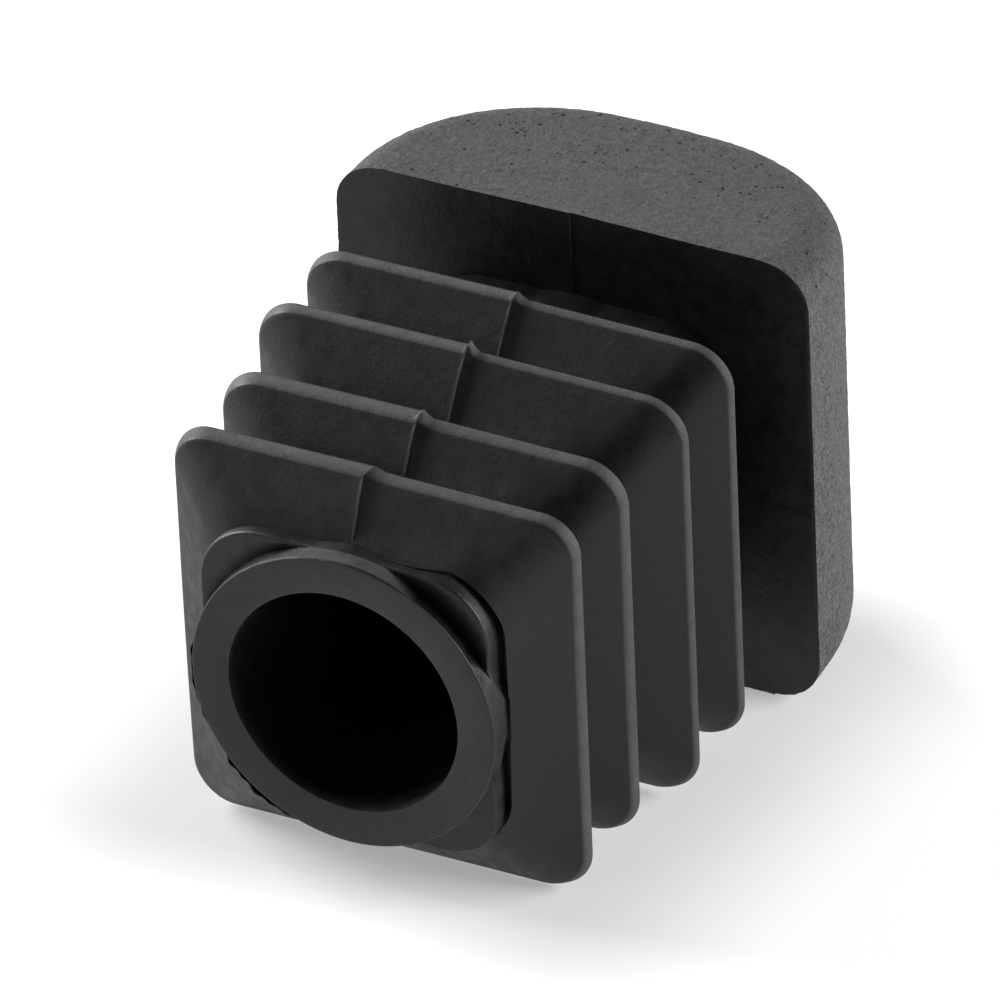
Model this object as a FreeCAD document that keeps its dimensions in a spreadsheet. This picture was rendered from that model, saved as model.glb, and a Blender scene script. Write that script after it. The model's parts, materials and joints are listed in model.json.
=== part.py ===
"""Square tube end cap, moulded in one piece from black polyethylene.

The cap is drawn along its own axis. The underside of the head, which meets the cut end of
the tube, is the plane Z = 0. The ribbed plug goes up from it along +Z and the arched head
goes down. The fins are shaped in a body of their own and joined to the core. The cap is then laid
on its side, as it comes to rest on a table: on the lower edge of the head and on the rim of
the front fin. Millimetres and degrees.
"""
import FreeCAD
import Part
import math
import os

import Sketcher
from FreeCAD import Placement, Rotation, Vector

NODE = "end_cap"

# Driving dimensions: alias in the sheet, value, meaning
SIZES = [
    ("tube_width", 25.0, "outside width of the square tube that the head covers"),
    ("head_height", 11.6, "underside of the head to the top of its arch"),
    ("crown_radius", 65.0, "radius of the flat middle of the arch"),
    ("shoulder_radius", 10.0, "radius of the arch's two shoulders"),
    ("end_draft", 5.75, "lean of the two arched ends of the head, in degrees"),
    ("head_edge", 2.4, "rounding of the head's corners and arched edges"),
    ("core_width", 15.5, "width of the square core that carries the fins"),
    ("core_corner", 3.3, "corner radius of the core"),
    ("core_length", 23.95, "underside of the head to the front of the core"),
    ("core_edge", 0.35, "rounding of the front edge of the core"),
    ("stem_diameter", 15.9, "outside of the round stem at the open end"),
    ("plug_length", 24.9, "underside of the head to the open end of the stem"),
    ("bore_diameter", 12.0, "blind bore in the plug"),
    ("crown_wall", 4.0, "material left between the bore and the top of the arch"),
    ("seat_gap", 5.6, "underside of the head to the back of the nearest fin"),
    ("fin_pitch", 4.98, "spacing of the fins"),
    ("fin_slope", 38.5, "slope of a fin's front face, in degrees"),
    ("fin_corner", 2.25, "corner radius of a fin"),
    ("fin_root_depth", 0.75, "how far a fin's root lies inside the core's flats"),
    ("rear_fin_width", 22.6, "width of the two fins near the head"),
    ("rear_land", 0.4, "thickness of a rear fin at its rim"),
    ("rear_rim_round", 0.5, "rounding of a rear fin's rim"),
    ("front_fin_width", 21.3, "width of the two fins near the open end"),
    ("front_land", 0.5, "thickness of a front fin at its rim"),
    ("front_rim_round", 0.7, "rounding of a front fin's rim"),
]

FINS_PER_SET = 2
RIDGE_SHARE = 0.9  # keeps the rounding of a fin's ridges just inside that of its corners
MARGIN = 1.0  # how far a trimming cut reaches past the material
FLAT = 1e-3  # how far from a plane an edge may lie and still count as on it


def fill_sheet(document):
    """Write the driving dimensions into a sheet and return it."""
    sheet = document.addObject("Spreadsheet::Sheet", "Sizes")
    for row, (alias, value, meaning) in enumerate(SIZES, start=1):
        sheet.set(f"A{row}", alias)
        sheet.set(f"B{row}", str(value))
        sheet.set(f"C{row}", meaning)
        sheet.setAlias(f"B{row}", alias)
    document.recompute()
    return sheet


def origin_feature(body, role):
    """Return one of the body's own origin planes or axes, found by its role."""
    return next(feature for feature in body.Origin.OriginFeatures if feature.Role == role)


def new_sketch(body, name, role, height=None):
    """Add a sketch on an origin plane, lifted along its normal where a rule says so."""
    sketch = body.newObject("Sketcher::SketchObject", name)
    sketch.AttachmentSupport = [(origin_feature(body, role), "")]
    sketch.MapMode = "FlatFace"
    if height:
        sketch.setExpression("AttachmentOffset.Base.z", height)
    return sketch


def tie(sketch, *arguments):
    """Add a constraint that has no size of its own."""
    sketch.addConstraint(Sketcher.Constraint(*arguments))


def drive(sketch, name, rule, *arguments):
    """Add a named constraint whose size follows the sheet."""
    index = sketch.addConstraint(Sketcher.Constraint(*arguments))
    sketch.renameConstraint(index, name)
    sketch.setExpression(f"Constraints.{name}", rule)


def square_outline(body, name, width, corner, width_rule, corner_rule, height=None):
    """Draw a centred square with rounded corners, driven by two rules, and return its sketch."""
    sketch = new_sketch(body, name, "XY_Plane", height)
    half = width / 2
    inner = half - corner
    axis = Vector(0, 0, 1)
    lines = []
    arcs = []
    for quarter in range(4):
        turn = Rotation(axis, 90 * quarter)
        start = turn.multVec(Vector(half, -inner, 0))
        end = turn.multVec(Vector(half, inner, 0))
        lines.append(sketch.addGeometry(Part.LineSegment(start, end)))
        circle = Part.Circle(turn.multVec(Vector(inner, inner, 0)), axis, corner)
        first = math.pi / 2 * quarter
        arcs.append(sketch.addGeometry(Part.ArcOfCircle(circle, first, first + math.pi / 2)))
    for quarter, arc in enumerate(arcs):
        tie(sketch, "Tangent", lines[quarter], 2, arc, 1)
        tie(sketch, "Tangent", arc, 2, lines[(quarter + 1) % 4], 1)
    for arc in arcs[1:]:
        tie(sketch, "Equal", arcs[0], arc)
    tie(sketch, "Vertical", lines[0])
    tie(sketch, "Horizontal", lines[1])
    tie(sketch, "Vertical", lines[2])
    tie(sketch, "Horizontal", lines[3])
    tie(sketch, "Symmetric", arcs[0], 3, arcs[2], 3, -1, 1)
    drive(sketch, "corner", corner_rule, "Radius", arcs[0], corner)
    drive(sketch, "across", width_rule, "DistanceX", lines[2], 1, lines[0], 1, width)
    drive(sketch, "upright", width_rule, "DistanceY", lines[3], 1, lines[1], 1, width)
    return sketch


def add_frame(sketch, width, width_rule):
    """Draw a sharp centred square round an outline, so that the sketch bounds a frame."""
    half = width / 2
    corners = [Vector(half, -half, 0), Vector(half, half, 0),
               Vector(-half, half, 0), Vector(-half, -half, 0)]
    lines = [sketch.addGeometry(Part.LineSegment(start, end))
             for start, end in zip(corners, corners[1:] + corners[:1])]
    for line, following in zip(lines, lines[1:] + lines[:1]):
        tie(sketch, "Coincident", line, 2, following, 1)
    tie(sketch, "Vertical", lines[0])
    tie(sketch, "Horizontal", lines[1])
    tie(sketch, "Vertical", lines[2])
    tie(sketch, "Horizontal", lines[3])
    tie(sketch, "Symmetric", lines[0], 2, lines[2], 2, -1, 1)
    drive(sketch, "frame_across", width_rule, "DistanceX", lines[2], 1, lines[0], 1, width)
    drive(sketch, "frame_upright", width_rule, "DistanceY", lines[3], 1, lines[1], 1, width)


def round_outline(body, name, diameter, rule, height=None):
    """Draw a centred circle driven by one rule, and return its sketch."""
    sketch = new_sketch(body, name, "XY_Plane", height)
    circle = Part.Circle(Vector(0, 0, 0), Vector(0, 0, 1), diameter / 2)
    edge = sketch.addGeometry(circle)
    tie(sketch, "Coincident", edge, 3, -1, 1)
    drive(sketch, "diameter", rule, "Diameter", edge, diameter)
    return sketch


def pad(body, name, profile, length_rule, side="One side"):
    """Pad a profile to a length given by a rule."""
    feature = body.newObject("PartDesign::Pad", name)
    feature.Profile = (profile, [""])
    feature.SideType = side
    feature.setExpression("Length", length_rule)
    body.Document.recompute()
    return feature


def fillet(body, name, base, edges, radius_rule):
    """Round the named edges of the feature before, by a radius given by a rule."""
    feature = body.newObject("PartDesign::Fillet", name)
    feature.Base = (base, edges)
    feature.setExpression("Radius", radius_rule)
    body.Document.recompute()
    return feature


def edges_at_height(shape, height):
    """Name the edges that lie in the plane at a height."""
    names = []
    for number, edge in enumerate(shape.Edges, start=1):
        box = edge.BoundBox
        if abs(box.ZMin - height) < FLAT and abs(box.ZMax - height) < FLAT:
            names.append(f"Edge{number}")
    return names


def ridges_above(shape, height):
    """Name the ridges of the fins above a height: straight edges that slant in every way."""
    names = []
    for number, edge in enumerate(shape.Edges, start=1):
        box = edge.BoundBox
        slants = min(box.XLength, box.YLength, box.ZLength) > FLAT
        if slants and box.ZMin > height - FLAT and edge.Curve.TypeId == "Part::GeomLine":
            names.append(f"Edge{number}")
    return names


def arch_profile(body, sheet):
    """Draw the head as seen from its arched end: flat underside, short walls, three-arc arch."""
    half = sheet.tube_width / 2
    crown = sheet.crown_radius
    shoulder = sheet.shoulder_radius
    crown_centre = crown - sheet.head_height
    offset = half - shoulder
    spring = crown_centre - math.sqrt((crown - shoulder) ** 2 - offset ** 2)
    lean = math.atan2(offset, crown_centre - spring)
    axis = Vector(0, 0, 1)
    down = -math.pi / 2

    sketch = new_sketch(body, "ArchProfile", "XZ_Plane")
    seat = sketch.addGeometry(Part.LineSegment(Vector(-half, 0, 0), Vector(half, 0, 0)))
    right = sketch.addGeometry(Part.LineSegment(Vector(half, 0, 0), Vector(half, spring, 0)))
    left = sketch.addGeometry(Part.LineSegment(Vector(-half, spring, 0), Vector(-half, 0, 0)))
    circle = Part.Circle(Vector(offset, spring, 0), axis, shoulder)
    right_shoulder = sketch.addGeometry(Part.ArcOfCircle(circle, down + lean, 0))
    circle = Part.Circle(Vector(-offset, spring, 0), axis, shoulder)
    left_shoulder = sketch.addGeometry(Part.ArcOfCircle(circle, -math.pi, down - lean))
    circle = Part.Circle(Vector(0, crown_centre, 0), axis, crown)
    top = sketch.addGeometry(Part.ArcOfCircle(circle, down - lean, down + lean))

    tie(sketch, "Coincident", seat, 2, right, 1)
    tie(sketch, "Coincident", left, 2, seat, 1)
    tie(sketch, "PointOnObject", seat, 1, -1)
    tie(sketch, "Tangent", right, 2, right_shoulder, 2)
    tie(sketch, "Tangent", right_shoulder, 1, top, 2)
    tie(sketch, "Tangent", top, 1, left_shoulder, 2)
    tie(sketch, "Tangent", left_shoulder, 1, left, 1)
    tie(sketch, "Vertical", right)
    tie(sketch, "Vertical", left)
    tie(sketch, "Equal", right_shoulder, left_shoulder)
    tie(sketch, "Symmetric", seat, 1, seat, 2, -1, 1)
    tie(sketch, "PointOnObject", top, 3, -2)
    drive(sketch, "across", "Sizes.tube_width", "DistanceX", seat, 1, seat, 2, 2 * half)
    drive(sketch, "shoulder", "Sizes.shoulder_radius", "Radius", right_shoulder, shoulder)
    drive(sketch, "crown", "Sizes.crown_radius", "Radius", top, crown)
    rise = "Sizes.crown_radius - Sizes.head_height"
    drive(sketch, "rise", rise, "DistanceY", -1, 1, top, 3, crown_centre)
    return sketch


def arched_ends(shape):
    """Name the head's two end faces."""
    names = []
    for number, face in enumerate(shape.Faces, start=1):
        if abs(face.normalAt(0, 0).y) > 0.9:
            names.append(f"Face{number}")
    return names


def arched_edges(shape):
    """Name the edges round the arched ends, without the ones on the underside."""
    ends = [shape.getElement(name) for name in arched_ends(shape)]
    names = []
    for number, edge in enumerate(shape.Edges, start=1):
        bounds_end = any(edge.isSame(other) for face in ends for other in face.Edges)
        if bounds_end and edge.BoundBox.ZMin < -FLAT:
            names.append(f"Edge{number}")
    return names


def add_head(body, sheet):
    """Make the arched head: its profile padded, its ends leaned in, its edges rounded."""
    block = pad(body, "HeadBlock", arch_profile(body, sheet), "Sizes.tube_width", "Symmetric")
    lean = body.newObject("PartDesign::Draft", "EndDraft")
    body.Document.recompute()
    lean.Base = (block, arched_ends(block.Shape))
    lean.NeutralPlane = (origin_feature(body, "XY_Plane"), [""])
    lean.PullDirection = (origin_feature(body, "Z_Axis"), [""])
    lean.Reversed = True
    lean.setExpression("Angle", "Sizes.end_draft")
    body.Document.recompute()
    fillet(body, "HeadEdges", lean, arched_edges(lean.Shape), "Sizes.head_edge")


def add_core(body, sheet):
    """Make the square core with its front edge rounded, and the round stem inside it."""
    outline = square_outline(body, "CoreOutline", sheet.core_width, sheet.core_corner,
                             "Sizes.core_width", "Sizes.core_corner")
    core = pad(body, "Core", outline, "Sizes.core_length")
    front = edges_at_height(core.Shape, sheet.core_length)
    fillet(body, "CoreEdge", core, front, "Sizes.core_edge")
    circle = round_outline(body, "StemOutline", sheet.stem_diameter, "Sizes.stem_diameter")
    pad(body, "Stem", circle, "Sizes.plug_length")


def add_pyramid(body, name, bottom_rule, base_rule, top_rule, rise_rule):
    """Add a square pyramid without its tip, from rules for its height, widths and rise."""
    pyramid = body.newObject("PartDesign::AdditiveWedge", name)
    pyramid.AttachmentSupport = [(origin_feature(body, "XZ_Plane"), "")]
    pyramid.MapMode = "FlatFace"
    for low, high, rule in (("Xmin", "Xmax", base_rule), ("Zmin", "Zmax", base_rule),
                            ("X2min", "X2max", top_rule), ("Z2min", "Z2max", top_rule)):
        pyramid.setExpression(low, f"-({rule}) / 2")
        pyramid.setExpression(high, f"({rule}) / 2")
    pyramid.setExpression("Ymin", bottom_rule)
    pyramid.setExpression("Ymax", f"{bottom_rule} + {rise_rule}")
    body.Document.recompute()
    return pyramid


def add_fins(body, sheet, kind, station_rule):
    """Make one fin of a kind, front or rear, repeat it at the pitch and round its edges.

    A fin is a square plate with a flat back, a thin land at its rim and a front face that
    slopes up to the core like a low pyramid with soft ridges. The pyramid's foot is trimmed
    to the plate's rounded corners.
    """
    width = getattr(sheet, f"{kind}_fin_width")
    width_rule = f"Sizes.{kind}_fin_width"
    land_rule = f"{station_rule} + Sizes.{kind}_land"
    root_rule = "Sizes.core_width - 2 * Sizes.fin_root_depth"
    rise_rule = f"({width_rule} - ({root_rule})) / 2 * tan(Sizes.fin_slope * 1 deg)"
    corner = sheet.fin_corner
    corner_rule = "Sizes.fin_corner"
    name = kind.capitalize()

    outline = square_outline(body, f"{name}Outline", width, corner, width_rule, corner_rule,
                             station_rule)
    plate = pad(body, f"{name}Plate", outline, f"Sizes.{kind}_land")
    slope = add_pyramid(body, f"{name}Slope", land_rule, width_rule, root_rule, rise_rule)
    frame = square_outline(body, f"{name}Frame", width, corner, width_rule, corner_rule,
                           land_rule)
    add_frame(frame, width + 2 * MARGIN, f"{width_rule} + {2 * MARGIN}")
    trim = body.newObject("PartDesign::Pocket", f"{name}Trim")
    trim.Profile = (frame, [""])
    trim.Type = "Length"
    trim.Reversed = True
    trim.setExpression("Length", rise_rule)
    body.Document.recompute()

    row = body.newObject("PartDesign::LinearPattern", f"{name}Fins")
    row.Originals = [plate, slope, trim]
    row.Direction = (origin_feature(body, "Z_Axis"), [""])
    row.Occurrences = FINS_PER_SET
    row.setExpression("Length", f"Sizes.fin_pitch * {FINS_PER_SET - 1}")
    body.Tip = row
    body.Document.recompute()

    land = frame.AttachmentOffset.Base.z
    soft = fillet(body, f"{name}Ridges", row, ridges_above(row.Shape, land),
                  f"{RIDGE_SHARE} * Sizes.fin_corner / sin(Sizes.fin_slope * 1 deg)")
    lands = [land + sheet.fin_pitch * number for number in range(FINS_PER_SET)]
    edges = [edge for height in lands for edge in edges_at_height(soft.Shape, height)]
    fillet(body, f"{name}Rims", soft, edges, f"Sizes.{kind}_rim_round")


def join_fins(body, fins):
    """Join the body with the fins to the body with the core."""
    union = body.newObject("PartDesign::Boolean", "FinsOnCore")
    union.Type = "Fuse"
    union.setObjects([fins])
    body.Document.recompute()


def add_bore(body, sheet):
    """Cut the blind bore from the open end of the stem up into the head."""
    before = body.Shape.Volume
    circle = round_outline(body, "BoreOutline", sheet.bore_diameter, "Sizes.bore_diameter",
                           "Sizes.plug_length")
    bore = body.newObject("PartDesign::Pocket", "Bore")
    bore.Profile = (circle, [""])
    bore.Type = "Length"
    bore.setExpression("Length", "Sizes.plug_length + Sizes.head_height - Sizes.crown_wall")
    body.Document.recompute()
    if not body.Shape.Volume < before:
        raise RuntimeError("the bore cuts nothing")


def lay_on_side(body, sheet):
    """Place the body as it rests: open end forward and low, arch to the back.

    It leans on the head's lower edge and on the front fin's rim, which is a little
    narrower than the head: the rim touches where its flat band ends and its rounding
    starts. The cap's box is centred over the origin and stands on Z = 0.
    """
    step = (sheet.tube_width - sheet.front_fin_width) / 2
    rounded = sheet.front_rim_round * math.tan(math.radians(90 - sheet.fin_slope) / 2)
    last_fin = sheet.seat_gap + (2 * FINS_PER_SET - 1) * sheet.fin_pitch
    tilt = math.degrees(math.atan2(step, last_fin + sheet.front_land - rounded))
    turn = Rotation(Vector(1, 0, 0), 90 + tilt)
    body.Placement = Placement(Vector(0, 0, 0), turn)
    box = body.Shape.optimalBoundingBox(False, False)
    body.Placement = Placement(Vector(-box.Center.x, -box.Center.y, -box.ZMin), turn)
    body.Document.recompute()


def check(document, body):
    """Stop if any object failed or the cap isn't one sound solid."""
    for item in document.Objects:
        if "Invalid" in item.State or "Error" in item.State:
            raise RuntimeError(f"{item.Label} failed")
    shape = body.Shape
    if shape.isNull() or not shape.isValid() or len(shape.Solids) != 1:
        raise RuntimeError("the cap isn't one valid solid")


def main():
    """Build the cap and write it as a STEP file."""
    document = FreeCAD.newDocument("EndCap")
    sheet = fill_sheet(document)
    fins = document.addObject("PartDesign::Body", "Fins")
    add_fins(fins, sheet, "rear", "Sizes.seat_gap")
    add_fins(fins, sheet, "front", f"Sizes.seat_gap + {FINS_PER_SET} * Sizes.fin_pitch")
    body = document.addObject("PartDesign::Body", "EndCap")
    body.Label = NODE
    add_head(body, sheet)
    add_core(body, sheet)
    join_fins(body, fins)
    add_bore(body, sheet)
    lay_on_side(body, sheet)
    document.recompute()
    check(document, body)
    os.makedirs("parts", exist_ok=True)
    body.Shape.exportStep(f"parts/{NODE}.step")
    box = body.Shape.optimalBoundingBox(False, False)
    print(f"{NODE}: {body.Shape.Volume:.1f} mm3, {box.XLength:.2f} x {box.YLength:.2f} x {box.ZLength:.2f} mm")


main()
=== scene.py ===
"""A black moulded end cap for a square tube, lying on its side on a pale table.

The cap is one polyethylene moulding: an arched head with a matt, spark-eroded grain, a square
plug with four sloping fins, and a round stem with a blind bore. Shapes are written in the
cap's own axes, in millimetres: X across the mould, Y up, Z from the underside of the head
towards the open end. CapFrame turns them into the part's frame, in metres.
"""

import json
import logging
import math
from dataclasses import dataclass, field
from enum import Enum
from functools import partial
from typing import Callable

import bpy
import numpy as np
from bpy.types import Material, Node, NodeSocket, NodeTree, Object
from mathutils import Matrix, Vector


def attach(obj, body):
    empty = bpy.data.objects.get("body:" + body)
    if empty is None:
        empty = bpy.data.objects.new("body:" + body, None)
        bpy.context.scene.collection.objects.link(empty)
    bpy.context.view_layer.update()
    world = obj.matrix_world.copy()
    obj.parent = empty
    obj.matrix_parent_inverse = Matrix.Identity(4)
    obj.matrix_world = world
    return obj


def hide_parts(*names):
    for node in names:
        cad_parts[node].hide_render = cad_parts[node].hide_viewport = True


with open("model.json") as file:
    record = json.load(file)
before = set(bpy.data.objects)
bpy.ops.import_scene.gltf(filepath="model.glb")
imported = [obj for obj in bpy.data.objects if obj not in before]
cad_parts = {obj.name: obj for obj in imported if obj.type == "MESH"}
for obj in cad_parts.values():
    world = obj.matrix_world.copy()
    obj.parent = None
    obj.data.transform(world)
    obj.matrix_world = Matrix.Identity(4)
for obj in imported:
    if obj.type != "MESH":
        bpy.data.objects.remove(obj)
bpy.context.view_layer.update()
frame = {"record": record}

log = logging.getLogger("end_cap")

Array = np.ndarray
Pair = tuple[float, float]
Triples = tuple[tuple[float, float, float], ...]

MM = 0.001
NODE = "end_cap"
GRAIN = "grain"
# The point attribute of painted light: a paler tone where highlights are painted
PAINTED_LIGHT = "painted_light"
MERGE_DISTANCE = 0.002 * MM
SHARP_ANGLE = math.radians(28)

# Millimetres: half of the head's width, and the height on the cap's axis that the lamps face
HEAD_HALF = 12.5
STUDIO_AIM = 6.0

# Columns of the plug's rings, in degrees
FLAT_SPACING = 1.5
CORNER_SPACING = 0.75
CORNER_START = 30.0
SEAM_COLUMNS = np.array([-0.5, -0.16, 0.16, 0.5])

# The numbers that each finish gives to the skin group, and shares of the skin
SKIN_NUMBERS = ("Fine Scale", "Cloud Scale", "Fine Share", "Tone", "Tone Spread", "Painted Light Tone",
                "Pit Scale", "Pit Size", "Roughness", "Roughness Spread")
PIT_LEAST = 0.5
PIT_SPREAD = 0.8
PIT_DEPTH = 0.8
# Pits are painted darker by this share, as painted shade in the holes
PIT_PAINTED_SHADE = 0.85
PIT_ROUGHNESS = 0.4
DARKEST = 0.1
# Extra roughness where painted light lies
PAINTED_LIGHT_ROUGHNESS = 0.2


class Finish(Enum):
    """The two surface finishes of the moulding, by the value of the grain attribute."""

    SATIN = 0.0
    GRAINED = 1.0


# Frame and camera


class CapFrame:
    """Places the cap's own axes in the part's frame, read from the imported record's mounts."""

    def __init__(self, record: dict) -> None:
        """Find the cap's axis and the middle of the head's underside.

        Args:
            record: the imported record, with the mounts tube_seat and core_bore.
        """
        mounts = {mount["name"]: mount for mount in record["mounts"]}
        self.axis = Vector(mounts["tube_seat"]["axis"]).normalized()
        on_axis = Vector(mounts["core_bore"]["pos_m"])
        seat = Vector(mounts["tube_seat"]["pos_m"])
        self.origin = on_axis + self.axis * (seat - on_axis).dot(self.axis)
        self.right = Vector((1.0, 0.0, 0.0))
        self.up = self.axis.cross(self.right)

    def place(self, points: Array, anchored: bool = True) -> Array:
        """Turn points of the cap, in millimetres, into the part's frame, in metres.

        Args:
            points: an array whose last axis holds x, y and z.
            anchored: False leaves the result round the origin, for a piece placed later.

        Returns:
            An array of the same shape.
        """
        turn = np.array([self.right, self.up, self.axis])
        placed = points @ turn * MM
        return placed + np.array(self.origin) if anchored else placed

    def station(self, height: float) -> Vector:
        """Return the point on the cap's axis at a height in millimetres."""
        return self.origin + self.axis * (height * MM)


@dataclass(frozen=True)
class PhotoCamera:
    """The camera at the photograph's viewing angle, as a view of an aim point."""

    aim: tuple[float, float, float] = (-0.629, -0.517, 12.123)
    distance: float = 952.79
    azimuth: float = 26.4
    elevation: float = 29.296
    roll: float = -0.344
    lens: float = 723.68
    sensor: float = 36.0

    def build(self) -> Object:
        """Create the camera and make it the scene's.

        Returns:
            The camera object.
        """
        azimuth, elevation = math.radians(self.azimuth), math.radians(self.elevation)
        towards = Vector((
            math.sin(azimuth) * math.cos(elevation),
            -math.cos(azimuth) * math.cos(elevation),
            math.sin(elevation),
        ))
        turn = towards.to_track_quat("Z", "Y").to_matrix().to_4x4()
        turn = turn @ Matrix.Rotation(math.radians(-self.roll), 4, "Z")
        data = bpy.data.cameras.new("photo_camera")
        data.lens = self.lens
        data.sensor_width = self.sensor
        data.clip_start = 0.01
        data.clip_end = 20.0
        camera = bpy.data.objects.new("photo_camera", data)
        place = (Vector(self.aim) + towards * self.distance) * MM
        camera.matrix_world = Matrix.Translation(place) @ turn
        bpy.context.scene.collection.objects.link(camera)
        bpy.context.scene.camera = camera
        return camera


# Outlines and surfaces


def ramp(values: Array, start: float, end: float) -> Array:
    """Return how far values have come from a start to an end, from 0 to 1."""
    return np.clip((values - start) / (end - start), 0.0, 1.0)


def bell(values: Array, middle: float, width: float) -> Array:
    """Return a bell curve of height 1 round a middle value."""
    return np.exp(-(((values - middle) / width) ** 2))


def waves(values: Array, shapes: Triples) -> Array:
    """Return the sum of waves, each with a height, a frequency and a shift."""
    return sum(height * np.sin(values * often + shift) for height, often, shift in shapes)


def mould_columns() -> Array:
    """Spread the angles at which the plug's rings are drawn.

    They are close at the corners of the square outlines, where the rims turn, and there is a
    narrow pair at each parting line, so that the mould's step has a wall of its own.

    Returns:
        Angles in radians, rising from just over zero, counter-clockwise seen from the open end.
    """
    flat = np.arange(FLAT_SPACING, CORNER_START, FLAT_SPACING)
    corner = np.arange(CORNER_START, 45.01, CORNER_SPACING)
    half = np.concatenate([flat, corner])
    quarter = np.concatenate([-half[::-1][1:], [0.0], half])
    angles = np.concatenate([quarter + 90.0 * side for side in range(4)])
    off_seams = angles[~np.isin(angles, (90.0, 270.0))]
    angles = np.concatenate([off_seams, 90.0 + SEAM_COLUMNS, 270.0 + SEAM_COLUMNS])
    return np.radians(np.unique(np.round(angles % 360.0, 4)))


def square_radius(angles: Array, half: float, corner: float, squeeze: float = 1.0) -> Array:
    """Measure a rounded square from its centre.

    Args:
        angles: directions in radians.
        half: half of the square's width.
        corner: corner radius.
        squeeze: the square's height as a share of its width.

    Returns:
        The distance to the outline in each direction.
    """
    across, upright = np.abs(np.cos(angles)), np.abs(np.sin(angles))
    tall = half * squeeze
    flat = np.minimum(half / np.maximum(across, 1e-9), tall / np.maximum(upright, 1e-9))
    cx, cy = half - corner, tall - corner
    middle = cx * across + cy * upright
    reach = middle + np.sqrt(np.maximum(middle ** 2 - cx ** 2 - cy ** 2 + corner ** 2, 0.0))
    x, y = flat * across, flat * upright
    return np.where((x > cx) & (y > cy), reach, flat)


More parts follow.
